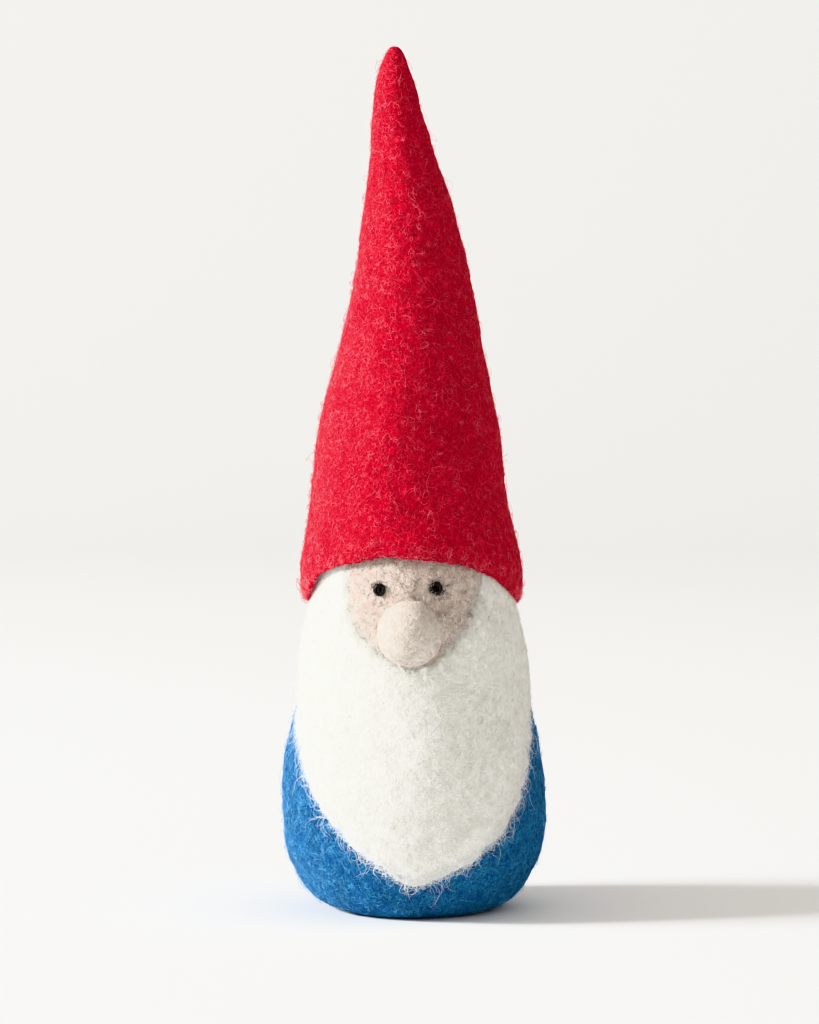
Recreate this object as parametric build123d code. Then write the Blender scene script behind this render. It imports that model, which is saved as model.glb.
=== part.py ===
from build123d import *
import os

os.makedirs("parts", exist_ok=True)

# A felted wool gnome, in millimetres. It stands on z = 0 and faces -Y.
# Driving sizes
GAP = 0.15  # between two pieces that lie against each other
FELT = 3.0  # blue felt over the core
HAT_FELT = 1.8  # red felt of the hat
FOOT_R = 24.0  # flat foot
PATCH_THICK = 1.6  # felt patch under the foot
FILL_HOLE_R = 14.0  # hole in the underside that the filling went in by
HEAD_RIM_Z = 112.0  # top edge of the blue felt, the beard and the face, all under the hat
HEAD_TOP_Z = 147.5
RIM_SIDE_Z = 95.0  # lowest part of the hat's rim, at the sides and the back
RIM_FRONT_Z = 110.0  # the rim over the face
TIP_Z = 266.5
HAT_X = -0.5  # centre of the hat where it sits on the head
NOSE_R = 9.9
NOSE_AT = (-1.1, -42.8, 89.0)
EYES_AT = {"eye_left": (-10.4, 101.3), "eye_right": (6.9, 101.9)}  # x, z
EYE_R = 1.75
YARN_R = 0.45

# Sides of the turned shapes, as (radius, height) from the foot up
BODY = [
    (FOOT_R, PATCH_THICK + 0.1), (31.3, 5), (36.4, 11), (39.9, 20), (40.9, 31),
    (40.2, 45), (37.9, 58), (34.7, 70), (32.8, 83), (31.1, 94), (29.8, 104), (28.9, HEAD_RIM_Z),
]
BEARD = [
    (31.5, 4), (38.0, 11), (42.0, 20), (42.9, 31), (42.2, 43), (39.4, 57), (36.9, 70), (35.0, 83), (33.4, 92.8),
]
UNDER_HAT = [(31.4, 95.2), (31.1, 104), (30.2, HEAD_RIM_Z)]
DOME = [(28.9, HEAD_RIM_Z + GAP), (26.9, 122), (22.6, 131), (15.5, 140), (0, HEAD_TOP_Z)]
# Rings of the hat, as (centre x, height, outer radius)
HAT = [
    (HAT_X, 90, 34.2), (HAT_X, 104, 34.3), (HAT_X, 114, 32.9), (-0.7, 128, 30.2), (-0.8, 139, 29.3),
    (-0.8, 158, 26.0), (-0.6, 182, 20.4), (-1.0, 207, 16.1), (-2.4, 226, 12.0), (-4.8, 245, 8.0),
    (-5.8, 258, 5.3), (-5.9, TIP_Z, 1.3),
]


def turned(points, inset=0.0):
    """A solid of revolution with a smooth side through points, set in by inset, its seam at the back."""
    pts = [(max(r - inset, 0), 0, z) for r, z in points]
    z0, z1 = pts[0][2], pts[-1][2]
    edges = [Line((0, 0, z0), pts[0]), Spline(*pts)]
    if pts[-1][0] > 0:
        edges.append(Line(pts[-1], (0, 0, z1)))
    edges.append(Line((0, 0, z1), (0, 0, z0)))
    return Rot(0, 0, 90) * revolve(make_face(edges), Axis.Z)


def disc(radius, z0, z1):
    return Pos(0, 0, z0) * Cylinder(radius, z1 - z0, align=(Align.CENTER, Align.CENTER, Align.MIN))


def front_outline(points, top):
    """The flat shape under top that a curve through (x, z) points bounds below."""
    pts = [(x, 0, z) for x, z in points]
    left, right = (pts[0][0], 0, top), (pts[-1][0], 0, top)
    return make_face([Spline(*pts), Line(pts[-1], right), Line(right, left), Line(left, pts[0])])


def through_y(outline, y0, y1):
    return extrude(Pos(0, y0, 0) * outline, amount=y1 - y0, dir=(0, 1, 0))


def rod(start, end, radius):
    """A round rod between two points, its ends domed."""
    line = Line(start, end)
    middle = extrude(Plane(origin=line @ 0, z_dir=line % 0) * Circle(radius), amount=line.length)
    return middle + Pos(*start) * Sphere(radius) + Pos(*end) * Sphere(radius)


# Blue felt: a shell over the core, its underside flat and with the hole the filling went in by.
body_floor = BODY[0][1] + FELT
body_outer = turned(BODY)
body_inner = turned(BODY, FELT) & disc(60, body_floor, HEAD_RIM_Z)
body_felt = body_outer - body_inner - disc(FILL_HOLE_R, 0, body_floor + 1)

# Wool core: it fills the shell and the hole, and widens to the head over the shell's top edge.
core_wool = turned(BODY, FELT + GAP) & disc(60, body_floor + GAP, HEAD_RIM_Z)
core_wool += disc(FILL_HOLE_R - GAP, BODY[0][1], body_floor + 1)
core_wool += turned(DOME) + disc(BODY[-1][0] - FELT - GAP, HEAD_RIM_Z - 1, HEAD_RIM_Z + 1)

# Weight: a round cloth pouch of grain, low in the core.
POUCH_R, POUCH_Z, POUCH_CLOTH = 19.0, (8.0, 28.0), 0.7


def pouch_shape(inset):
    low, high = POUCH_Z[0] + inset, POUCH_Z[1] - inset
    return fillet(disc(POUCH_R - inset, low, high).edges(), 6.0 - inset)


core_wool -= pouch_shape(-GAP)
ballast_pouch = pouch_shape(0) - pouch_shape(POUCH_CLOTH)
ballast_grain = pouch_shape(POUCH_CLOTH + GAP)

# Patch under the foot, and the thread sewn round its edge.
base_patch = disc(FOOT_R - 2.5, 0, PATCH_THICK)
base_thread = Pos(0, 0, PATCH_THICK / 2) * Torus(FOOT_R - 1.8, YARN_R)

# Skin of wool over the blue felt: it draws in where the hat holds it.
skin_outer = turned(BEARD) + turned([BEARD[-1], UNDER_HAT[0]]) + turned(UNDER_HAT)
skin_room = turned(BODY, -GAP) + disc(FOOT_R, 0, HEAD_RIM_Z)
FACE_EDGE = [
    (-22.2, 108), (-21.5, 100.8), (-16.7, 88.1), (-10.2, 81.5), (-0.5, 77.4),
    (8.2, 80.9), (16.4, 90.3), (21.3, 101.5), (22.8, 108),
]
face_outline = front_outline(FACE_EDGE, HEAD_RIM_Z + 1)
face_gap = front_outline([(x * (1 + GAP / 20), z - GAP) for x, z in FACE_EDGE], HEAD_RIM_Z + 1)
beard_outline = front_outline(
    [(-50, 72), (-37, 63), (-35, 51.2), (-27.5, 34.2), (-14.1, 20.4), (0.4, 11.3),
     (15.5, 16.8), (24.4, 25.3), (32.8, 39.5), (36, 58), (38, 64), (50, 72)],
    HEAD_RIM_Z,
)
BEARD_BACK_Y = 8.0  # the beard ends just behind the sides
beard = (skin_outer - skin_room) & through_y(beard_outline, -60, BEARD_BACK_Y)
beard -= through_y(face_gap, -60, -5)

# Face patch, set a little back from the beard round it.
FACE_BACK = 0.3
face_outer = turned(BEARD, FACE_BACK) + turned([BEARD[-1], UNDER_HAT[0]], FACE_BACK)
face_outer += turned(UNDER_HAT, FACE_BACK)
face_patch = (face_outer - skin_room) & through_y(face_outline, -60, -5)

# Nose: a felt ball hollowed where it lies on the face.
face_room = turned(BEARD, FACE_BACK - GAP) + turned([BEARD[-1], UNDER_HAT[0]], FACE_BACK - GAP)
face_room += turned(UNDER_HAT, FACE_BACK - GAP)
nose = Pos(*NOSE_AT) * Sphere(NOSE_R) - face_room

# Thread that holds the nose: from the ball's middle back to a knot in the core.
KNOT_Y, KNOT_R = -20.0, 1.4


def nose_tie(extra):
    x, y, z = NOSE_AT
    return rod((x, y, z), (x, KNOT_Y, z), YARN_R + extra) + Pos(x, KNOT_Y, z) * Sphere(KNOT_R + extra)


nose_thread = nose_tie(0)

# Eyes: knots of yarn on the face, with the yarn that joins them through the core.
EYE_TIE_Y = -22.0


def on_face(x):
    """The face's y at x, at the height of the eyes."""
    return -((UNDER_HAT[0][0] ** 2 - x ** 2) ** 0.5)


def eye_tie(extra):
    (x0, z0), (x1, z1) = EYES_AT.values()
    left, right = (x0, EYE_TIE_Y, z0), (x1, EYE_TIE_Y, z1)
    tie = rod((x0, on_face(x0) - 0.8, z0), left, YARN_R + extra) + rod(left, right, YARN_R + extra)
    return tie + rod(right, (x1, on_face(x1) - 0.8, z1), YARN_R + extra)


eye_thread = eye_tie(0)
eyes = {}
for name, (x, z) in EYES_AT.items():
    knot = Pos(x, on_face(x) - 0.6, z) * Sphere(EYE_R)
    eyes[name] = knot - face_room - eye_tie(GAP)

nose -= nose_tie(GAP)
face_patch -= nose_tie(GAP) + eye_tie(GAP)
body_felt -= nose_tie(GAP) + eye_tie(GAP)
core_wool -= nose_tie(GAP) + eye_tie(GAP)

# Hat: a felt cone with a leaning tip, its rim raised over the face.
HOLLOW_TOP_Z = 254.0


def hat_solid(rings):
    return loft([Plane(origin=(x, 0, z)) * Circle(r) for x, z, r in rings])


hollow = [(x, z, r - HAT_FELT) for x, z, r in HAT if z < HOLLOW_TOP_Z] + [(-5.5, HOLLOW_TOP_Z, 3.2)]
hollow[0] = (HAT_X, HAT[0][1] - 1, hollow[0][2])
rise = (RIM_FRONT_Z - RIM_SIDE_Z) / (HAT[1][2])  # the rim's slope towards the front
rim_line = Spline(
    (0, -50, RIM_SIDE_Z + 50 * rise), (0, -12, RIM_SIDE_Z + 12.6 * rise),
    (0, 0, RIM_SIDE_Z + 0.5), (0, 12, RIM_SIDE_Z), (0, 50, RIM_SIDE_Z),
)
below_rim = make_face([
    rim_line, Line(rim_line @ 1, (0, 50, 80)), Line((0, 50, 80), (0, -50, 80)), Line((0, -50, 80), rim_line @ 0),
])
hat_felt = hat_solid(HAT) - hat_solid(hollow)
hat_felt -= extrude(Pos(-50, 0, 0) * below_rim, amount=100, dir=(1, 0, 0))

# Wool filling in the upper cone, loose enough for the felt to turn round it.
hat_filling = Pos(HAT_X, 0, 0) * turned(
    [(8, HEAD_TOP_Z + 1), (24, 151), (22.2, 160), (16.7, 182), (12.6, 205), (8, 224)]
)

nodes = {
    "body_felt": body_felt, "core_wool": core_wool, "base_patch": base_patch, "base_thread": base_thread,
    "ballast_pouch": ballast_pouch, "ballast_grain": ballast_grain, "beard": beard, "face_patch": face_patch,
    "nose": nose, "nose_thread": nose_thread, **eyes, "eye_thread": eye_thread,
    "hat_felt": hat_felt, "hat_filling": hat_filling,
}
for name, shape in nodes.items():
    export_step(shape, f"parts/{name}.step")
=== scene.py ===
import math

import bmesh
import bpy
import numpy as np
from mathutils import Matrix, Vector, noise
from mathutils.bvhtree import BVHTree


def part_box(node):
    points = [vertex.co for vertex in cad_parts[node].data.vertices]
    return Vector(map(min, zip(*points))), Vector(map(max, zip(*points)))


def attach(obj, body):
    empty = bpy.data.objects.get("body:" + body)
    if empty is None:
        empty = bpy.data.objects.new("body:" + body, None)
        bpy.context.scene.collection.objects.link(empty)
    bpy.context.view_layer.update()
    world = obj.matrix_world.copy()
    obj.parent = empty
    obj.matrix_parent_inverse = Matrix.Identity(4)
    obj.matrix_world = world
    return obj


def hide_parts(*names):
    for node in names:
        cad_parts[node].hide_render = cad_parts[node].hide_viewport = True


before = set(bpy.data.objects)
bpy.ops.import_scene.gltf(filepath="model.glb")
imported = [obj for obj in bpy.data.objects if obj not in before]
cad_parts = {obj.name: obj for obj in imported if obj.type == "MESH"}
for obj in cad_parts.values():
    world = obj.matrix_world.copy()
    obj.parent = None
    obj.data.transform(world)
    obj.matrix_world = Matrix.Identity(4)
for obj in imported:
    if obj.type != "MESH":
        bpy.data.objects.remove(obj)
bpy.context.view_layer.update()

# ---- Camera -------------------------------------------------------------------------------------
# It stands a little over a metre in front of the gnome, at two thirds of its height, and looks
# down a few degrees.
MM = 0.001
CAMERA_AT = Vector((-1.24, -1297.7, 200.9)) * MM
CAMERA_PITCH = math.radians(3.43)
LENS = 147.4

camera_data = bpy.data.cameras.new("camera")
camera_data.lens, camera_data.sensor_width, camera_data.clip_start = LENS, 36.0, 0.01
camera = bpy.data.objects.new("camera", camera_data)
camera.location = CAMERA_AT
camera.rotation_euler = (math.radians(90) - CAMERA_PITCH, 0, 0)
bpy.context.collection.objects.link(camera)
bpy.context.scene.camera = camera


# ---- Core ---------------------------------------------------------------------------------------
# The body's firm core of undyed wool, rolled and needled to an egg. Its top is the head under the
# hat, so this is the part that shows when the hat is off.
CORE_LIGHT, CORE_DARK = (0.72, 0.68, 0.6, 1), (0.5, 0.45, 0.37, 1)
RAY_START = 0.2  # rays towards the upright axis start this far out, in metres
# The head and the hat bend a little to the side: (height, shift), in millimetres.
SWAY = (
    (97, 0), (119, -0.5), (133, -1.1), (147, -0.6), (162, -0.1), (184, 0), (198, 0.6), (213, -0.1),
    (240, 0.1),
)


def bend_over(at, out):
    """Moves a point of the head, or of the hat, with the bend."""
    at.x += float(np.interp(at.z / MM, *zip(*SWAY))) * MM
    return at


def add_nodes(tree, links, **nodes):
    """Makes named nodes in tree and joins them: links are pairs of (node, socket)."""
    made = {name: tree.nodes.new(kind) for name, kind in nodes.items()}
    for (a, out), (b, into) in links:
        tree.links.new(made[a].outputs[out], made[b].inputs[into])
    return made


def wool_group():
    """Masks of matted wool: curled Hairs, the Pit Shade painted into the hollows between them, broad
    Mottle, and Height.
    """
    tree = bpy.data.node_groups.new("matted wool", "ShaderNodeTree")
    face = tree.interface
    face.new_socket("Vector", in_out="INPUT", socket_type="NodeSocketVector")
    for name, value in (("Curl", 900.0), ("Hair Width", 0.06), ("Mottle Scale", 110.0)):
        face.new_socket(name, in_out="INPUT", socket_type="NodeSocketFloat").default_value = value
    for name in ("Hairs", "Pit Shade", "Mottle", "Height"):
        face.new_socket(name, in_out="OUTPUT", socket_type="NodeSocketFloat")
    new, link = tree.nodes.new, tree.links.new
    given, out = new("NodeGroupInput"), new("NodeGroupOutput")

    def maths(operation, *values):
        node = new("ShaderNodeMath")
        node.operation = operation
        for socket, value in zip(node.inputs, values):
            if isinstance(value, (int, float)):
                socket.default_value = value
            else:
                link(value, socket)
        return node.outputs[0]

    def cloud(scale, detail, shift):
        moved = new("ShaderNodeVectorMath")
        moved.inputs[1].default_value = shift
        link(given.outputs["Vector"], moved.inputs[0])
        node = new("ShaderNodeTexNoise")
        node.inputs["Detail"].default_value = detail
        link(scale, node.inputs["Scale"])
        link(moved.outputs[0], node.inputs["Vector"])
        return node.outputs["Fac"]

    # The lines where a soft noise crosses its middle value curl and close like wool hairs.
    layers = []
    for k, size in enumerate((0.7, 1.0, 1.5, 2.1)):
        scale = maths("MULTIPLY", given.outputs["Curl"], size)
        field = cloud(scale, 1.5, (0.31 * k, 0.17 * k, 0.23 * k))
        off = maths("ABSOLUTE", maths("SUBTRACT", field, 0.5))
        line = maths("SUBTRACT", 1.0, maths("DIVIDE", off, given.outputs["Hair Width"]))
        piece = cloud(maths("MULTIPLY", scale, 0.35), 0.0, (0.7 + k, 0.2, 0.1))
        there = maths("MULTIPLY", maths("SUBTRACT", piece, 0.4), 6.0)
        there.node.use_clamp = line.node.use_clamp = True
        layers.append(maths("MULTIPLY", line, there))
    hairs = layers[0]
    for layer in layers[1:]:
        hairs = maths("MAXIMUM", hairs, layer)
    grain = cloud(maths("MULTIPLY", given.outputs["Curl"], 2.6), 2.0, (0.9, 0.9, 0.4))
    # Where the grain sinks between the hairs, the wool gets painted shade.
    pit_shade_mask = maths("MULTIPLY", maths("SUBTRACT", 0.52, grain), 5.0)
    pit_shade_mask.node.use_clamp = True
    open_pit_shade_mask = maths("MULTIPLY", pit_shade_mask, maths("SUBTRACT", 1.0, hairs))
    mottle = cloud(given.outputs["Mottle Scale"], 3.0, (0.2, 0.5, 0.8))
    height = maths("ADD", maths("MULTIPLY", hairs, 0.55), maths("MULTIPLY", grain, 0.6))
    for name, value in (("Hairs", hairs), ("Pit Shade", open_pit_shade_mask), ("Mottle", mottle), ("Height", height)):
        link(value, out.inputs[name])
    return tree


WOOL = wool_group()


def wool_material(name, light, dark, hair, pit_shade_colour, curl=900.0, hair_width=0.06, mottle=110.0,
                  hair_share=0.6, pit_shade_share=0.5, relief=0.35 * MM, sheen=0.35, sheen_tint=None,
                  contrast=2.0):
    """Matted wool that runs from dark to light in blotches, with hairs over it and painted shade in the
    pits between.
    """
    material = bpy.data.materials.new(name)
    material.use_nodes = True
    tree = material.node_tree
    shader = tree.nodes["Principled BSDF"]
    shader.inputs["Roughness"].default_value = 0.92
    shader.inputs["Specular IOR Level"].default_value = 0.08
    shader.inputs["Sheen Weight"].default_value = sheen
    shader.inputs["Sheen Roughness"].default_value = 0.45
    shader.inputs["Sheen Tint"].default_value = sheen_tint or light
    place = tree.nodes.new("ShaderNodeTexCoord")
    wool = tree.nodes.new("ShaderNodeGroup")
    wool.node_tree = WOOL
    wool.inputs["Curl"].default_value = curl
    wool.inputs["Hair Width"].default_value = hair_width
    wool.inputs["Mottle Scale"].default_value = mottle
    tree.links.new(place.outputs["Object"], wool.inputs["Vector"])
    spread = tree.nodes.new("ShaderNodeMapRange")
    spread.inputs["From Min"].default_value = 0.5 - 0.5 / contrast
    spread.inputs["From Max"].default_value = 0.5 + 0.5 / contrast
    tree.links.new(wool.outputs["Mottle"], spread.inputs["Value"])
    ground = None
    # The pit colour is painted shade, laid where the grain sinks between the hairs.
    for colour, amount, mask in (
        (light, 1.0, spread.outputs["Result"]), (pit_shade_colour, pit_shade_share, wool.outputs["Pit Shade"]),
        (hair, hair_share, wool.outputs["Hairs"]),
    ):
        mix = tree.nodes.new("ShaderNodeMix")
        mix.data_type = "RGBA"
        scaled = tree.nodes.new("ShaderNodeMath")
        scaled.operation = "MULTIPLY"
        scaled.inputs[1].default_value = amount
        tree.links.new(mask, scaled.inputs[0])
        tree.links.new(scaled.outputs[0], mix.inputs["Factor"])
        if ground is None:
            mix.inputs["A"].default_value = dark
        else:
            tree.links.new(ground, mix.inputs["A"])
        mix.inputs["B"].default_value = colour
        ground = mix.outputs["Result"]
    tree.links.new(ground, shader.inputs["Base Color"])
    bump = tree.nodes.new("ShaderNodeBump")
    bump.inputs["Strength"].default_value = 1.0
    bump.inputs["Distance"].default_value = relief
    tree.links.new(wool.outputs["Height"], bump.inputs["Height"])
    tree.links.new(bump.outputs["Normal"], shader.inputs["Normal"])
    return material


def merged_copy(node):
    """A bmesh of a CAD node with its loose triangles joined."""
    mesh = bmesh.new()
    mesh.from_mesh(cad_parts[node].data)
    bmesh.ops.remove_doubles(mesh, verts=mesh.verts, dist=0.001 * MM)
    return mesh


def make_piece(name, mesh, material, *modifiers):
    """An object of a bmesh, smooth, with modifiers given as (type, {setting: value}) and applied."""
    data = bpy.data.meshes.new(name)
    mesh.to_mesh(data)
    mesh.free()
    piece = bpy.data.objects.new(name, data)
    bpy.context.collection.objects.link(piece)
    for kind, settings in modifiers:
        modifier = piece.modifiers.new(kind.lower(), kind)
        for setting, value in settings.items():
            setattr(modifier, setting, value)
    if modifiers:
        seen = piece.evaluated_get(bpy.context.evaluated_depsgraph_get())
        piece.data = bpy.data.meshes.new_from_object(seen)
        piece.modifiers.clear()
    piece.data.materials.clear()
    piece.data.materials.append(material)
    piece.data.shade_smooth()
    return piece


def felted(name, node, voxel, material, lumps, seed, soften=3, shape=None):
    """A CAD node's solid made again in even faces, with soft lumps given as (width, height)."""
    piece = make_piece(
        name, merged_copy(node), material,
        ("REMESH", {"mode": "VOXEL", "voxel_size": voxel}),
        ("SMOOTH", {"factor": 0.5, "iterations": soften}),
    )
    raise_lumps(piece, lumps, seed, shape)
    return piece


def raise_lumps(piece, lumps, seed, shape=None):
    """Moves the surface in and out in soft lumps; shape may move a point further."""
    shift = Vector((seed * 3.7, seed * 1.3, seed * 2.1))
    moved = []
    for at, out in [(v.co.copy(), v.normal.copy()) for v in piece.data.vertices]:
        spot = at + out * sum(height * noise.noise(at / width + shift) for width, height in lumps)
        moved.extend(shape(spot, out) if shape else spot)
    piece.data.vertices.foreach_set("co", moved)
    piece.data.update()


def step_up(low, high, value):
    """0 below low, 1 above high, and a smooth slope between."""
    t = min(max((value - low) / (high - low), 0.0), 1.0)
    return t * t * (3 - 2 * t)


# Its fourth colour is painted shade for the pits between the hairs.
undyed_wool = wool_material("undyed wool", CORE_LIGHT, CORE_DARK, (0.85, 0.82, 0.75, 1),
                            (0.3, 0.26, 0.2, 1), hair_share=0.5, pit_shade_share=0.4)
core = felted("wool_core", "core_wool", 1.3 * MM, undyed_wool,
              ((9 * MM, 0.5 * MM), (3.5 * MM, 0.25 * MM)), 1, shape=bend_over)
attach(core, "figure")
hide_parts("core_wool")


# ---- Weight -------------------------------------------------------------------------------------
# A round cotton pouch of dried grain, set low in the core so that the tall figure stands firm.
# Its cloth is plain-woven, and it is out of sight once the underside is closed.
THREAD_PITCH = 0.45 * MM


def woven_material(name, light, dark, pitch):
    """Plain-woven cloth: two crossing sets of threads, with painted light on their crowns and painted
    shade between them.
    """
    material = bpy.data.materials.new(name)
    material.use_nodes = True
    tree = material.node_tree
    made = add_nodes(
        tree,
        ((("place", "Object"), ("warp", "Vector")), (("place", "Object"), ("weft", "Vector")),
         (("warp", "Fac"), ("weave", 0)), (("weft", "Fac"), ("weave", 1)),
         (("weave", 0), ("colour", "Factor")), (("weave", 0), ("bump", "Height"))),
        place="ShaderNodeTexCoord", warp="ShaderNodeTexWave", weft="ShaderNodeTexWave",
        weave="ShaderNodeMath", colour="ShaderNodeMix", bump="ShaderNodeBump",
    )
    made["warp"].bands_direction, made["weft"].bands_direction = "X", "Y"
    for wave in (made["warp"], made["weft"]):
        wave.inputs["Scale"].default_value = 0.314 / pitch
        wave.inputs["Distortion"].default_value = 0.6
    made["weave"].operation = "MAXIMUM"
    made["colour"].data_type = "RGBA"
    # Dark is painted shade between the threads, and light is painted light on their crowns.
    made["colour"].inputs["A"].default_value = dark
    made["colour"].inputs["B"].default_value = light
    made["bump"].inputs["Distance"].default_value = 0.1 * MM
    shader = tree.nodes["Principled BSDF"]
    shader.inputs["Roughness"].default_value = 0.9
    tree.links.new(made["colour"].outputs["Result"], shader.inputs["Base Color"])
    tree.links.new(made["bump"].outputs["Normal"], shader.inputs["Normal"])
    return material


def speckled_material(name, light, dark, scale, roughness):
    """A coloured surface broken into cells, such as packed grain or the plies of a thread, with painted
    shade darkening each cell towards its edge, where the bump sinks.
    """
    material = bpy.data.materials.new(name)
    material.use_nodes = True
    tree = material.node_tree
    made = add_nodes(
        tree,
        ((("place", "Object"), ("cells", "Vector")), (("cells", "Distance"), ("colour", "Factor")),
         (("cells", "Distance"), ("bump", "Height"))),
        place="ShaderNodeTexCoord", cells="ShaderNodeTexVoronoi", colour="ShaderNodeMix",
        bump="ShaderNodeBump",
    )
    made["cells"].inputs["Scale"].default_value = scale
    made["colour"].data_type = "RGBA"
    # A cell is light at its middle and runs to dark at its edge: painted shade in the gaps.
    made["colour"].inputs["A"].default_value = light
    made["colour"].inputs["B"].default_value = dark
    made["bump"].invert = True
    made["bump"].inputs["Distance"].default_value = 0.3 / scale
    shader = tree.nodes["Principled BSDF"]
    shader.inputs["Roughness"].default_value = roughness
    tree.links.new(made["colour"].outputs["Result"], shader.inputs["Base Color"])
    tree.links.new(made["bump"].outputs["Normal"], shader.inputs["Normal"])
    return material


def finish_node(node, material):
    """Gives a CAD node its finish."""
    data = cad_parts[node].data
    data.materials.clear()
    data.materials.append(material)


# Its two tones are painted light on the thread crowns and painted shade between them.
cotton = woven_material("unbleached cotton", (0.7, 0.66, 0.57, 1), (0.38, 0.34, 0.27, 1),
                        THREAD_PITCH)
pouch = felted("grain_pouch", "ballast_pouch", 0.9 * MM, cotton, ((7 * MM, 0.3 * MM),), 2)
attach(pouch, "figure")
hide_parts("ballast_pouch")
# Its dark tone is painted shade in the gaps between the grains.
finish_node("ballast_grain", speckled_material("dried grain", (0.66, 0.55, 0.37, 1),
                                               (0.25, 0.18, 0.09, 1), 420, 0.6))


# ---- Body ---------------------------------------------------------------------------------------
# Blue wool laid round the core and wet-felted into a dense seamless skin about 3 mm thick.
# The needle leaves it finely pebbled, and short paler hairs stand out of it everywhere.
BLUE_LIGHT, BLUE_DARK = (0.009, 0.1, 0.36, 1), (0.003, 0.029, 0.15, 1)
LOOSE_SHARE, ROOT_DEPTH, TIP_TAPER = 0.25, 0.08 * MM, 0.6  # of single hairs
UNDER_RIM = 97 * MM
foot_low, foot_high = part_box("base_patch")
FOOT_EDGE = foot_high.x + 1.2 * MM


def settle_foot(at, out):
    """The felt round the patch sinks to what the figure stands on."""
    outside = step_up(FOOT_EDGE, FOOT_EDGE + 1.6 * MM, math.hypot(at.x, at.y))
    at.z -= 1.5 * MM * outside * (1 - step_up(1.7 * MM, 12 * MM, at.z))
    at.z = max(at.z, 0.15 * MM)
    return at


# Its fourth colour is painted shade for the pits between the hairs.
blue_felt = wool_material(
    "blue felt", BLUE_LIGHT, BLUE_DARK, (0.11, 0.47, 0.87, 1), (0.002, 0.01, 0.06, 1),
    curl=1000, hair_share=0.85, pit_shade_share=0.9, relief=1.3 * MM, sheen=0.2,
    sheen_tint=(0.3, 0.7, 1.0, 1),
)
body = felted("blue_body", "body_felt", 0.95 * MM, blue_felt,
              ((22 * MM, 0.7 * MM), (6 * MM, 0.26 * MM), (2.2 * MM, 0.14 * MM)), 3, shape=settle_foot)
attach(body, "figure")
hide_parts("body_felt")


def hair_material(name, light, dark):
    """Single wool hairs, their colour drifting between two tones."""
    material = bpy.data.materials.new(name)
    material.use_nodes = True
    tree = material.node_tree
    made = add_nodes(
        tree,
        ((("place", "Object"), ("drift", "Vector")), (("drift", "Fac"), ("spread", "Value")),
         (("spread", "Result"), ("colour", "Factor"))),
        place="ShaderNodeTexCoord", drift="ShaderNodeTexNoise", spread="ShaderNodeMapRange",
        colour="ShaderNodeMix",
    )
    made["drift"].inputs["Scale"].default_value = 420
    made["spread"].inputs["From Min"].default_value = 0.35
    made["spread"].inputs["From Max"].default_value = 0.65
    made["colour"].data_type = "RGBA"
    made["colour"].inputs["A"].default_value = dark
    made["colour"].inputs["B"].default_value = light
    shader = tree.nodes["Principled BSDF"]
    shader.inputs["Roughness"].default_value = 0.7
    shader.inputs["Specular IOR Level"].default_value = 0.3
    tree.links.new(made["colour"].outputs["Result"], shader.inputs["Base Color"])
    return material


def lay_hairs(name, ground, material, count, length, lift, thick, seed, where=None, points=5,
              curl=0.5, lean=None, onto=None):
    """Single hairs that curl over a surface: each starts in it, arches up to its own lift and
    mostly ends back in it. where gives a spot's share of hairs, lean the way they tend, and onto a
    second surface that they may run out on."""
    chance = np.random.default_rng(seed)
    corners, sides = [], []
    for piece in (ground, onto) if onto else (ground,):
        first = len(corners)
        corners += [v.co for v in piece.data.vertices]
        sides += [[first + k for k in p.vertices] for p in piece.data.polygons]
    tree = BVHTree.FromPolygons(corners, sides)

    def settle(spot):
        """The place and normal of the surface under a spot: with onto, of the outer one there."""
        if onto:
            outward = Vector((spot.x, spot.y, 0)).normalized()
            hit = tree.ray_cast(outward * RAY_START + Vector((0, 0, spot.z)), -outward)
            if hit[0]:
                return hit[:2]
        return tree.find_nearest(spot)[:2]

    faces = ground.data.polygons
    areas = np.empty(len(faces), np.float32)
    faces.foreach_get("area", areas)
    heap = np.cumsum(areas, dtype=np.float64)
    curve = bpy.data.curves.new(name, "CURVE")
    curve.dimensions = "3D"
    curve.bevel_depth, curve.bevel_resolution = thick / 2, 0
    curve.materials.append(material)
    shares = np.linspace(0, 1, points)
    laid = 0
    while laid < count:
        face = faces[int(np.searchsorted(heap, chance.random() * heap[-1]))]
        at, out = face.center.copy(), face.normal.copy()
        if where and chance.random() > where(at, out):
            continue
        reach = length * chance.lognormal(0, 0.35)
        top = lift * chance.lognormal(0, 0.5)
        loose = chance.random() < LOOSE_SHARE
        way = Vector(chance.normal(size=3))
        if lean is not None:
            way = way * 0.6 + lean(at)
        way = (way - out * way.dot(out)).normalized()
        turn = chance.normal(0, curl)
        line = []
        for share in shares:
            height = top * (share ** 1.5 if loose else math.sin(math.pi * share)) - ROOT_DEPTH
            line.extend((*(at + out * height), 1.0))
            way = Matrix.Rotation(turn + chance.normal(0, curl * 0.6), 3, out) @ way
            at, out = settle(at + way * reach / (points - 1))
            way = (way - out * way.dot(out)).normalized()
        spline = curve.splines.new("POLY")
        spline.points.add(points - 1)
        spline.points.foreach_set("co", line)
        spline.points.foreach_set("radius", 1.0 - TIP_TAPER * shares ** 3)
        laid += 1
    hairs = bpy.data.objects.new(name, curve)
    bpy.context.collection.objects.link(hairs)
    return hairs


def seen_on_body(at, out):
    """Only the outer side, clear of the underside and of what the hat covers."""
    outward = out.x * at.x + out.y * at.y > 0
    return 1.0 if outward and 1.5 * MM < at.z < UNDER_RIM else 0.0


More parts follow.
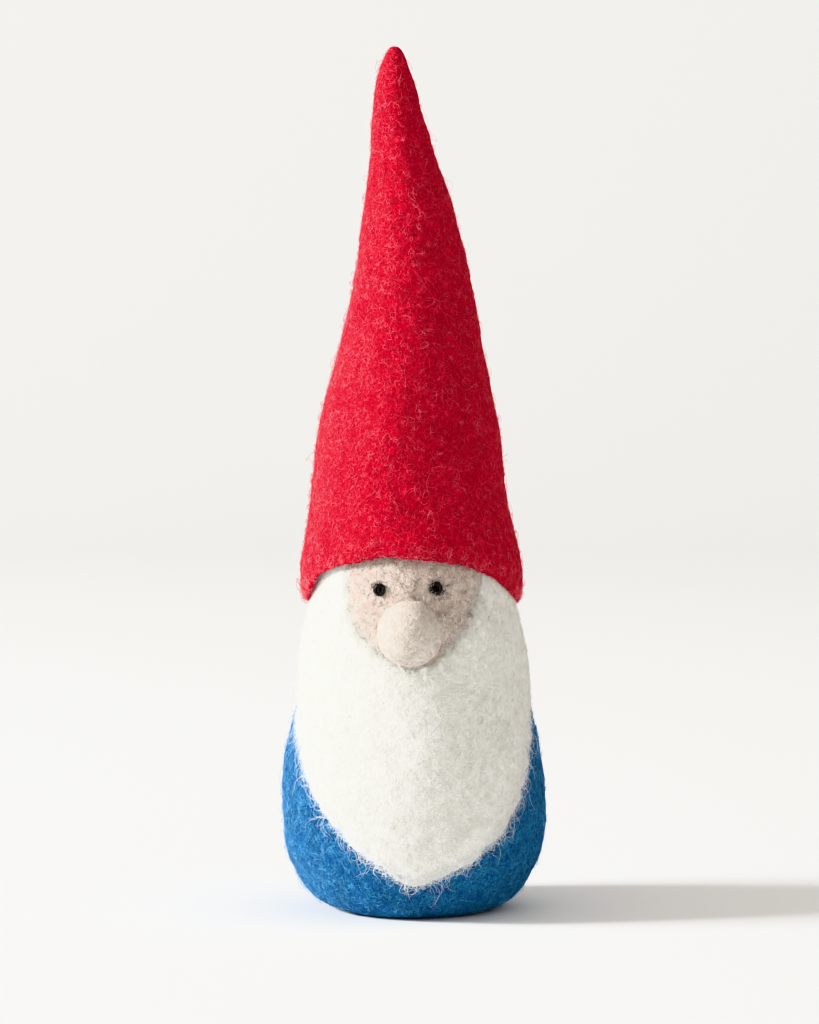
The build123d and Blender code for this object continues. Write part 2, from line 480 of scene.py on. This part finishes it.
blue_hair = hair_material("pale blue hairs", (0.28, 0.65, 0.95, 1), (0.014, 0.12, 0.42, 1))
for k, (count, length, lift, points) in enumerate(
    ((4700, 2.6 * MM, 0.26 * MM, 5), (1900, 5.5 * MM, 0.6 * MM, 9)), 1
):
    hairs = lay_hairs(f"body_hairs_{k}", body, blue_hair, count, length, lift, 0.085 * MM, 30 + k,
                      seen_on_body, points)
    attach(hairs, "figure")


# ---- Underside ----------------------------------------------------------------------------------
# A round felt patch closes the hole that the filling went in by. A doubled sewing thread runs
# round its edge.
# Its fourth colour is painted shade for the pits between the hairs.
patch_felt = wool_material("patch felt", (0.04, 0.2, 0.46, 1), (0.012, 0.09, 0.27, 1),
                           (0.1, 0.32, 0.6, 1), (0.005, 0.04, 0.14, 1), curl=1200, relief=0.2 * MM)
patch = felted("foot_patch", "base_patch", 0.6 * MM, patch_felt, ((4 * MM, 0.12 * MM),), 4)
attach(patch, "figure")
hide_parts("base_patch")
# Its dark tone is painted shade between the plies.
finish_node("base_thread", speckled_material("dark sewing thread", (0.05, 0.16, 0.34, 1),
                                             (0.01, 0.04, 0.12, 1), 1800, 0.7))


# ---- Beard --------------------------------------------------------------------------------------
# A sheet of white wool batting, needled over the front and both sides of the body, with its top
# under the hat. It is thickest in the middle and thins to nothing, so its hairs run out on the blue.
# Lower edge, as (degrees from the front, height): it rises from the tip to the hat at the sides.
BEARD_EDGE = (
    (-107, 99), (-98, 84), (-88, 71), (-76, 60), (-62, 51.5), (-49, 40), (-38, 31), (-26, 23.2),
    (-13, 17.2), (0, 11.3), (13, 15), (26, 19.2), (38, 26.2), (50, 36), (62, 51.5), (76, 63),
    (88, 69), (98, 84), (107, 99),
)
FACE_EDGE = (
    (-44, 118), (-41, 101), (-37, 94), (-29, 88), (-19, 82.8), (-9, 79.2), (0, 77.4), (9, 79.2),
    (19, 84.1), (29, 90.3), (37, 96.5), (41, 102), (45, 118),
)
LOWEST_RIM, RIM_RISE, RIM_TURN = 95, 15, 25  # of the hat, in millimetres and degrees
BODY_RADIUS = 36  # of the blue felt under the beard, in millimetres
trees = {}


def outward_at(angle):
    """The level direction that many degrees from the front."""
    return Vector((math.sin(math.radians(angle)), -math.cos(math.radians(angle)), 0))


def surface_radius(node, angle, height):
    """How far from the upright axis a CAD node's outside is, that many degrees from the front."""
    if node not in trees:
        mesh = merged_copy(node)
        trees[node] = BVHTree.FromBMesh(mesh)
        mesh.free()
    outward = outward_at(angle)
    hit = trees[node].ray_cast(outward * RAY_START + Vector((0, 0, height)), -outward)[0]
    return math.hypot(hit.x, hit.y) if hit else None


top_of_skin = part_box("beard")[1].z
HEIGHTS = np.linspace(6 * MM, top_of_skin - 0.5 * MM, 90)
BATTING = [
    (surface_radius("beard", 0 if z < 60 * MM else 55, z) or 0) - surface_radius("body_felt", 180, z)
    for z in HEIGHTS
]
body_tree = BVHTree.FromPolygons([v.co for v in body.data.vertices],
                                 [p.vertices for p in body.data.polygons])


def blue_radius(angle, z):
    """The felted body's own outside there, with its lumps."""
    outward = outward_at(angle)
    level = Vector((0, 0, min(z, top_of_skin - 1 * MM)))
    hit = body_tree.ray_cast(outward * RAY_START + level, -outward)[0]
    return math.hypot(hit.x, hit.y)


def batting(z):
    """How thick the wool over the blue is at full cover."""
    return max(float(np.interp(z, HEIGHTS, BATTING)), 1.2 * MM)


def beard_thickness(angle, z):
    """As batting, but it thins out slowly towards the lowest that the turned rim comes there."""
    turned = math.radians(min(abs(angle) + RIM_TURN, 90))
    rim = (LOWEST_RIM + RIM_RISE * max(0.0, math.cos(turned))) * MM
    thin = step_up(rim - 15 * MM, rim + 1 * MM, z)
    return min(batting(min(z, 88 * MM)), 2.2 * MM - 1.0 * MM * thin)


def top_edge(z):
    """1 on the skin, and less where its wool runs out on the blue felt's upper edge."""
    return 1 - 0.85 * step_up(top_of_skin - 6 * MM, top_of_skin, z)


def inside_edge(edge, angle, z):
    """How far a spot on the body is above an edge given as (angle, height), square to it."""
    angles, heights = zip(*edge)
    here, ahead = np.interp((angle - 1.5, angle + 1.5), angles, heights) * MM
    slope = (ahead - here) / (BODY_RADIUS * MM * math.radians(3))
    middle = np.interp(angle, angles, heights) * MM
    return (z - float(middle)) / math.hypot(1, slope)


def angle_of(at):
    """Degrees round from the front, towards +X."""
    return math.degrees(math.atan2(at.x, -at.y))


def wrapped_band(left, right, low, high, step):
    """A bmesh of even faces round the upright axis, between two angles and two heights. It is
    bent from a grid, so its faces always come in the same order."""
    mesh = bmesh.new()
    sweep = math.radians(right - left)
    bmesh.ops.create_grid(mesh, x_segments=round(sweep * 38 * MM / step),
                          y_segments=round((high - low) / step) - 1, size=0.5)
    for vertex in mesh.verts:
        across, up = vertex.co.x + 0.5, vertex.co.y + 0.5
        turn = math.radians(left) + across * sweep
        vertex.co = Vector((math.sin(turn), -math.cos(turn), 0)) * BODY_RADIUS * MM
        vertex.co.z = low + up * (high - low)
    return mesh


def put_on_body(mesh, radius, keep):
    """Moves each point to radius(angle, z, point), and drops those that keep(angle, z) refuses."""
    gone = []
    for vertex in mesh.verts:
        angle, z = angle_of(vertex.co), vertex.co.z
        if not keep(angle, z):
            gone.append(vertex)
            continue
        out = Vector((vertex.co.x, vertex.co.y, 0)).normalized()
        vertex.co = out * radius(angle, z, vertex.co.copy()) + Vector((0, 0, z))
    bmesh.ops.delete(mesh, geom=gone, context="VERTS")
    bmesh.ops.recalc_face_normals(mesh, faces=mesh.faces)
    return mesh


def wave(at, width, seed):
    """A soft wave between about -1 and 1 that changes over width."""
    return noise.noise(at / width + Vector((seed, seed * 0.7, -seed)))


def beard_radius(angle, z, at):
    """The wool's outside: full in the middle, down to the blue at its edge, sunk under the face."""
    ragged = (0.9 * wave(at, 5 * MM, 1) + 0.5 * wave(at, 2 * MM, 2)) * MM
    d = inside_edge(BEARD_EDGE, angle, z) + ragged
    f = inside_edge(FACE_EDGE, angle, z) + 0.5 * MM * wave(at, 3 * MM, 3)
    cover = step_up(-0.5 * MM, 6.5 * MM, d) ** 0.6 if d > -0.5 * MM else 0.0
    bed = blue_radius(angle, z) - 0.35 * MM * (1 - step_up(-1.5 * MM, 0.3 * MM, d))
    radius = bed + beard_thickness(angle, z) * cover * top_edge(z)
    radius += (0.3 * wave(at, 16 * MM, 4) + 0.1 * wave(at, 6 * MM, 5)) * MM * cover
    return radius - 2.2 * MM * step_up(-1.6 * MM, 2.4 * MM, f)


# Its fourth colour is painted shade for the pits between the hairs.
white_wool = wool_material(
    "white batting", (0.83, 0.825, 0.785, 1), (0.72, 0.705, 0.655, 1), (0.9, 0.9, 0.87, 1),
    (0.55, 0.53, 0.48, 1), curl=620, hair_width=0.05, mottle=140, hair_share=0.55, pit_shade_share=0.25,
    relief=0.22 * MM, sheen=0.1, contrast=1.8,
)
beard = make_piece(
    "beard_batting",
    put_on_body(wrapped_band(-108, 108, 9 * MM, top_of_skin, 0.72 * MM), beard_radius,
                lambda angle, z: inside_edge(BEARD_EDGE, angle, z) > -3 * MM
                and inside_edge(FACE_EDGE, angle, z) < 5 * MM),
    white_wool,
    ("SOLIDIFY", {"thickness": 0.9 * MM, "offset": -1.0}),
)
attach(beard, "figure")
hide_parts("beard")


def down(at):
    """The way the beard is combed."""
    return Vector((0, 0, -1))


def on_white(at, out):
    """The seen face of the beard."""
    if out.x * at.x + out.y * at.y < 0 or at.z > 104 * MM:
        return 0.0
    return 1.0 if inside_edge(BEARD_EDGE, angle_of(at), at.z) > 1.5 * MM else 0.0


def along_beard_edge(at, out):
    """A narrow band of the beard, just above its lower edge."""
    if out.x * at.x + out.y * at.y < 0 or at.z > UNDER_RIM:
        return 0.0
    return 1.0 if -0.3 * MM < inside_edge(BEARD_EDGE, angle_of(at), at.z) < 2.6 * MM else 0.0


def down_and_out(at):
    """Downwards, and round towards the back on each side."""
    side = 1 if at.x > 0 else -1
    return Vector((-at.y * side, at.x * side, 0)).normalized() * 0.6 + Vector((0, 0, -0.8))


# The fringe hairs are the beard's own white wool, given brighter tones than the white hairs: painted
# light against the shade they take over the blue.
brightened_fringe_hair = hair_material("brightened fringe hairs", (1.0, 1.0, 1.0, 1), (0.94, 0.94, 0.93, 1))
white_hair = hair_material("white hairs", (0.94, 0.94, 0.91, 1), (0.76, 0.75, 0.7, 1))
for name, tone, count, length, lift, where, points, lean, onto in (
    ("beard_hairs", white_hair, 4000, 4.0 * MM, 0.3 * MM, on_white, 6, down, None),
    ("beard_edge_short", brightened_fringe_hair, 3600, 2.9 * MM, 0.35 * MM, along_beard_edge, 6,
     down_and_out, body),
    ("beard_edge_long", brightened_fringe_hair, 750, 7.0 * MM, 0.6 * MM, along_beard_edge, 11,
     down_and_out, body),
):
    hairs = lay_hairs(name, beard, tone, count, length, lift, 0.078 * MM, len(name) + points, where,
                      points, 0.6, lean, onto)
    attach(hairs, "figure")


# ---- Face ---------------------------------------------------------------------------------------
# A pad of fawn melange wool, white, grey and brown fibres carded together, needled on under the
# rim. Its edge is under the beard. It dips where the eyes are sewn through it, and swells to seat
# the nose.
nose_low, nose_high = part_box("nose")
NOSE_RADIUS = (nose_high.z - nose_low.z) / 2
NOSE_AT = Vector(((nose_low.x + nose_high.x) / 2, nose_low.y + NOSE_RADIUS,
                  (nose_low.z + nose_high.z) / 2))
EYES = {}
for node in ("eye_left", "eye_right"):
    low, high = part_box(node)
    EYES[node] = (low + high) / 2


def face_radius(angle, z, at):
    """The pad's outside: it swells away from its edge, and dips at each eye."""
    f = inside_edge(FACE_EDGE, angle, z)
    pad = batting(z) - 0.6 * MM + 0.6 * MM * step_up(0, 7 * MM, f)
    radius = blue_radius(angle, z) + pad * top_edge(z)
    radius += (0.2 * wave(at, 9 * MM, 7) + 0.2 * wave(at, 3 * MM, 8) + 0.16 * wave(at, 1.5 * MM, 9)) * MM
    spot = outward_at(angle) * radius
    spot.z = z
    for eye in EYES.values():
        off = math.hypot(spot.x - eye.x, spot.z - eye.z)
        radius -= 0.7 * MM * (1 - step_up(0.6 * MM, 3.2 * MM, off))
    off = math.hypot(spot.x - NOSE_AT.x, spot.z - NOSE_AT.z)
    radius += 1.3 * MM * (1 - step_up(4.5 * MM, 9 * MM, off))
    return radius


# Its fourth colour is painted shade for the pits between the hairs.
face_wool = wool_material(
    "fawn melange", (0.84, 0.73, 0.65, 1), (0.67, 0.51, 0.43, 1), (0.92, 0.88, 0.84, 1),
    (0.26, 0.16, 0.12, 1), curl=900, hair_width=0.055, mottle=420, hair_share=0.6,
    pit_shade_share=0.5, relief=0.4 * MM, sheen=0.1, contrast=2.6,
)
face = make_piece(
    "face_pad",
    put_on_body(wrapped_band(-56, 56, 70 * MM, top_of_skin, 0.5 * MM), face_radius,
                lambda angle, z: inside_edge(FACE_EDGE, angle, z) > -4 * MM),
    face_wool,
    ("SOLIDIFY", {"thickness": 0.8 * MM, "offset": -1.0}),
)
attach(face, "figure")
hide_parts("face_patch")


def on_face(at, out):
    """The seen face, clear of the nose."""
    if out.x * at.x + out.y * at.y < 0 or at.z > 111 * MM:
        return 0.0
    clear = (at - NOSE_AT).length > NOSE_RADIUS + 0.6 * MM
    return 1.0 if clear and inside_edge(FACE_EDGE, angle_of(at), at.z) > -1 * MM else 0.0


for name, tones, count, seed in (
    ("face_hairs_pale", ((0.95, 0.91, 0.87, 1), (0.7, 0.59, 0.52, 1)), 2300, 51),
    ("face_hairs_brown", ((0.45, 0.32, 0.26, 1), (0.2, 0.14, 0.11, 1)), 700, 52),
):
    hairs = lay_hairs(name, face, hair_material(name.replace("_", " "), *tones), count, 2.3 * MM,
                      0.28 * MM, 0.085 * MM, seed, on_face, 6, 0.7)
    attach(hairs, "figure")


def round_the_face(at, out):
    """A band of the beard along the face's edge."""
    if out.x * at.x + out.y * at.y < 0 or at.z > 108 * MM:
        return 0.0
    return 1.0 if -2.5 * MM < inside_edge(FACE_EDGE, angle_of(at), at.z) < 0.6 * MM else 0.0


def towards_face(at):
    """The way the beard's hairs lie over the pad."""
    return Vector((-at.x, 0, 97 * MM - at.z)).normalized()


hairs = lay_hairs("face_edge_hairs", beard, white_hair, 1500, 3.0 * MM, 0.3 * MM, 0.07 * MM, 53,
                  round_the_face, 6, 0.6, towards_face, face)
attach(hairs, "figure")


# ---- Nose ---------------------------------------------------------------------------------------
# A hard ball of fine pale merino, rolled smooth, and pulled a little into the face by the thread
# that is sewn through it to a knot in the core.
# Its fourth colour is painted shade for the pits between the hairs.
nose_felt = wool_material(
    "nose felt", (0.82, 0.75, 0.68, 1), (0.69, 0.59, 0.5, 1), (0.9, 0.87, 0.83, 1),
    (0.42, 0.33, 0.26, 1), curl=1300, hair_width=0.07, mottle=500, hair_share=0.55, pit_shade_share=0.5,
    relief=0.35 * MM, sheen=0.1, contrast=2.0,
)
nose = felted("nose_ball", "nose", 0.4 * MM, nose_felt,
              ((8 * MM, 0.3 * MM), (2.2 * MM, 0.1 * MM)), 5)
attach(nose, "figure")
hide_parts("nose")


def front_of_nose(at, out):
    """All of the ball that stands out of the face."""
    return 1.0 if at.y < NOSE_AT.y + 0.6 * NOSE_RADIUS else 0.0


nose_hair = hair_material("nose hairs", (0.9, 0.86, 0.81, 1), (0.55, 0.44, 0.36, 1))
hairs = lay_hairs("nose_hairs", nose, nose_hair, 2200, 1.6 * MM, 0.14 * MM, 0.06 * MM, 61,
                  front_of_nose, 5, 0.8)
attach(hairs, "figure")
# Its dark tone is painted shade between the plies.
finish_node("nose_thread", speckled_material("pale sewing thread", (0.78, 0.7, 0.6, 1),
                                             (0.4, 0.33, 0.26, 1), 1800, 0.7))


# ---- Eyes ---------------------------------------------------------------------------------------
# Each is a knot of black two-ply yarn: it is wound round the needle, pulled tight on the face, and
# taken back through the head to the other eye.
PLY = 0.36 * MM
RING_STEPS, RING_TURN, RING_TILT, PLY_TWIST = 22, 1.15, 1.05, 0.9
# Its darker tone is painted shade between the plies.
black_yarn = speckled_material("black yarn", (0.006, 0.006, 0.007, 1), (0.002, 0.002, 0.002, 1),
                               2600, 0.4)


def wind_knot(name, node, turns, seed):
    """A ball of yarn: each turn is a ring tilted differently from the last, in one strand of two
    twisted plies."""
    chance = np.random.default_rng(seed)
    middle = EYES[node] + Vector((0, 0.1 * MM, 0))
    radius = (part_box(node)[1].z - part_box(node)[0].z) / 2 - 0.45 * PLY
    curve = bpy.data.curves.new(name, "CURVE")
    curve.dimensions = "3D"
    curve.bevel_depth, curve.bevel_resolution, curve.use_fill_caps = PLY, 2, True
    curve.materials.append(black_yarn)
    line = []
    start = chance.random() * math.tau
    for k in range(turns * RING_STEPS):
        share = k / (turns * RING_STEPS)
        lean = (Matrix.Rotation(start + share * turns * RING_TURN, 3, "Y")
                @ Matrix.Rotation(RING_TILT, 3, "X"))
        around = k / RING_STEPS * math.tau
        size = radius * (0.86 + 0.14 * math.sin(3.1 * share * turns))
        line.append(lean @ Vector((math.cos(around), math.sin(around), 0)) * size)
    for side in (0, math.pi):
        spline = curve.splines.new("NURBS")
        spline.points.add(len(line) - 1)
        for k, (point, spot) in enumerate(zip(spline.points, line)):
            ahead = (line[min(k + 1, len(line) - 1)] - line[max(k - 1, 0)]).normalized()
            aside = ahead.cross(spot).normalized()
            twist = k * PLY_TWIST + side
            off = (aside * math.cos(twist) + spot.normalized() * math.sin(twist)) * PLY * 0.55
            flat = spot + off
            point.co = (*(middle + Vector((flat.x, flat.y * 0.8, flat.z))), 1)
        spline.order_u, spline.use_endpoint_u = 3, True
    knot = bpy.data.objects.new(name, curve)
    bpy.context.collection.objects.link(knot)
    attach(knot, "figure")
    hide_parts(node)


wind_knot("knot_left", "eye_left", 5, 71)
wind_knot("knot_right", "eye_right", 5, 72)
finish_node("eye_thread", black_yarn)


def beside_eyes(at, out):
    """Close round each knot, and a little way below the one on the figure's left."""
    if out.y > 0:
        return 0.0
    left, right = EYES["eye_left"], EYES["eye_right"]
    tail = right + Vector((2.2, 0, -1.4)) * MM
    near = min(math.hypot(at.x - left.x, at.z - left.z), math.hypot(at.x - right.x, at.z - right.z),
               math.hypot(at.x - tail.x, at.z - tail.z))
    return 1.0 if near < 2.2 * MM else 0.0


black_hair = hair_material("black hairs", (0.02, 0.02, 0.02, 1), (0.004, 0.004, 0.004, 1))
hairs = lay_hairs("eye_hairs", face, black_hair, 70, 1.8 * MM, 0.4 * MM, 0.09 * MM, 73,
                  beside_eyes, 6, 0.6)
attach(hairs, "figure")


# ---- Hat ----------------------------------------------------------------------------------------
# A seamless cone of red wet-felted wool, under 2 mm thick, pulled over the head. Its rim is free and
# rides up over the face, and its tip leans to one side.
RED_LIGHT, RED_DARK = (0.64, 0.003, 0.024, 1), (0.42, 0.0015, 0.015, 1)
# How far the rim strays from its level: (degrees from the front, millimetres).
RIM_STRAY = (
    (-90, 0), (-58, 0.8), (-35, -2.6), (-18, -3.8), (0, -4.6), (18, -3.8), (35, -2.6), (63, -2.2),
    (90, 0),
)
hat_low, hat_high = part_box("hat_felt")
RIM_WIDTH = hat_high.x - hat_low.x
HAT_MIDDLE_X = (hat_high.x + hat_low.x) / 2
RIM_BAND = 7 * MM


def rim_height(at):
    """The height of the rim in front of or behind a point: it climbs towards the face."""
    return hat_low.z + RIM_RISE * MM * max(0.0, -at.y / (RIM_WIDTH / 2))


def ease_rim(at, out):
    """The felt's free edge hugs the head, and waves."""
    above = at.z - rim_height(at)
    if above < RIM_BAND:
        outward = Vector((at.x - HAT_MIDDLE_X, at.y, 0)).normalized()
        share = 1 - step_up(0, RIM_BAND, above)
        at += outward * share * (0.2 * wave(at, 16 * MM, 11) - 0.7) * MM
        at.z += share * (0.5 * wave(at, 11 * MM, 12) + 0.3 * wave(at, 3.5 * MM, 13)) * MM
        at.z += float(np.interp(angle_of(at), *zip(*RIM_STRAY))) * MM * share
    return bend_over(at, out)


# Its fourth colour is painted shade for the pits between the hairs.
red_felt = wool_material(
    "red felt", RED_LIGHT, RED_DARK, (0.95, 0.045, 0.085, 1), (0.12, 0.0003, 0.004, 1),
    curl=820, hair_width=0.06, mottle=90, hair_share=0.85, pit_shade_share=0.75, relief=1.0 * MM,
    sheen=0.12, sheen_tint=(1.0, 0.2, 0.28, 1), contrast=1.6,
)
hat = felted("red_hat", "hat_felt", 0.8 * MM, red_felt,
             ((30 * MM, 0.8 * MM), (11 * MM, 0.55 * MM), (4 * MM, 0.22 * MM), (1.8 * MM, 0.1 * MM)), 6,
             soften=2, shape=ease_rim)
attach(hat, "hat")
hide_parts("hat_felt")


def outside_hat(at, out):
    """The seen side of the hat."""
    return 1.0 if out.x * (at.x - HAT_MIDDLE_X) + out.y * at.y > 0 and out.z > -0.75 else 0.0


def along_rim(at, out):
    """The lowest few millimetres of the hat's outside."""
    return 1.0 if at.z - rim_height(at) < 4 * MM and outside_hat(at, out) else 0.0


red_hair = hair_material("pale red hairs", (0.97, 0.22, 0.29, 1), (0.7, 0.008, 0.03, 1))
for name, count, length, lift, where, points, seed in (
    ("hat_hairs_low", 4900, 2.6 * MM, 0.24 * MM, outside_hat, 5, 81),
    ("hat_hairs_high", 4900, 3.0 * MM, 0.28 * MM, outside_hat, 5, 82),
    ("hat_hairs_long", 1700, 7.0 * MM, 0.6 * MM, outside_hat, 11, 83),
    ("rim_hairs", 1100, 4.5 * MM, 0.6 * MM, along_rim, 8, 84),
):
    hairs = lay_hairs(name, hat, red_hair, count, length, lift, 0.075 * MM, seed, where, points,
                      0.75)
    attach(hairs, "hat")


# ---- Hat filling --------------------------------------------------------------------------------
# Loose undyed wool in the upper cone keeps the hat upright. It rises with the hat, and rests on the
# head.
filling = felted("hat_wool", "hat_filling", 1.3 * MM, undyed_wool,
                 ((10 * MM, 0.7 * MM), (3.5 * MM, 0.3 * MM)), 9, shape=bend_over)
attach(filling, "filling")
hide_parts("hat_filling")


# ---- Floor and light ----------------------------------------------------------------------------
# A matt white sweep that runs back and curves up, a large low window of light on the left, and an
# even pale room round it.
FLOOR_HALF_WIDTH, FLOOR_FRONT, FLOOR_BEND, BEND_RADIUS, WALL_TOP = 3, -2.5, 1.6, 0.9, 4
floor_mesh = bmesh.new()
run = [floor_mesh.verts.new((-FLOOR_HALF_WIDTH, y, 0)) for y in (FLOOR_FRONT, FLOOR_BEND)]
for k in range(1, 13):
    turn = math.radians(90 * k / 12)
    run.append(floor_mesh.verts.new((-FLOOR_HALF_WIDTH, FLOOR_BEND + BEND_RADIUS * math.sin(turn),
                                     BEND_RADIUS * (1 - math.cos(turn)))))
run.append(floor_mesh.verts.new((-FLOOR_HALF_WIDTH, FLOOR_BEND + BEND_RADIUS, WALL_TOP)))
edges = [floor_mesh.edges.new(pair) for pair in zip(run, run[1:])]
swept = bmesh.ops.extrude_edge_only(floor_mesh, edges=edges)["geom"]
bmesh.ops.translate(floor_mesh, vec=(2 * FLOOR_HALF_WIDTH, 0, 0),
                    verts=[part for part in swept if isinstance(part, bmesh.types.BMVert)])
bmesh.ops.recalc_face_normals(floor_mesh, faces=floor_mesh.faces)
white_paper = bpy.data.materials.new("matt white paper")
white_paper.use_nodes = True
paper = white_paper.node_tree.nodes["Principled BSDF"].inputs
paper["Base Color"].default_value = (0.9, 0.9, 0.895, 1)
paper["Roughness"].default_value = 0.95
paper["Specular IOR Level"].default_value = 0.1
sweep = make_piece("floor", floor_mesh, white_paper)


def add_window(name, at, aim, across, power, colour):
    """A square of soft light that faces aim."""
    data = bpy.data.lights.new(name, "AREA")
    data.shape, data.size, data.energy, data.color = "SQUARE", across, power, colour
    light = bpy.data.objects.new(name, data)
    light.location = at
    light.rotation_euler = (Vector(aim) - Vector(at)).to_track_quat("-Z", "Y").to_euler()
    bpy.context.collection.objects.link(light)


WINDOW_AT, WINDOW_AIM, WINDOW_WIDTH, WINDOW_POWER = (-1.7, -0.2, 0.82), (0, 0, 0.13), 0.5, 78
add_window("window", WINDOW_AT, WINDOW_AIM, WINDOW_WIDTH, WINDOW_POWER, (0.97, 0.99, 1.0))
world = bpy.data.worlds.new("room")
bpy.context.scene.world = world
world.use_nodes = True
room_light = world.node_tree.nodes["Background"].inputs
room_light["Color"].default_value = (1.0, 0.958, 0.9, 1)
room_light["Strength"].default_value = 0.74
bpy.context.scene.view_settings.view_transform = "Khronos PBR Neutral"
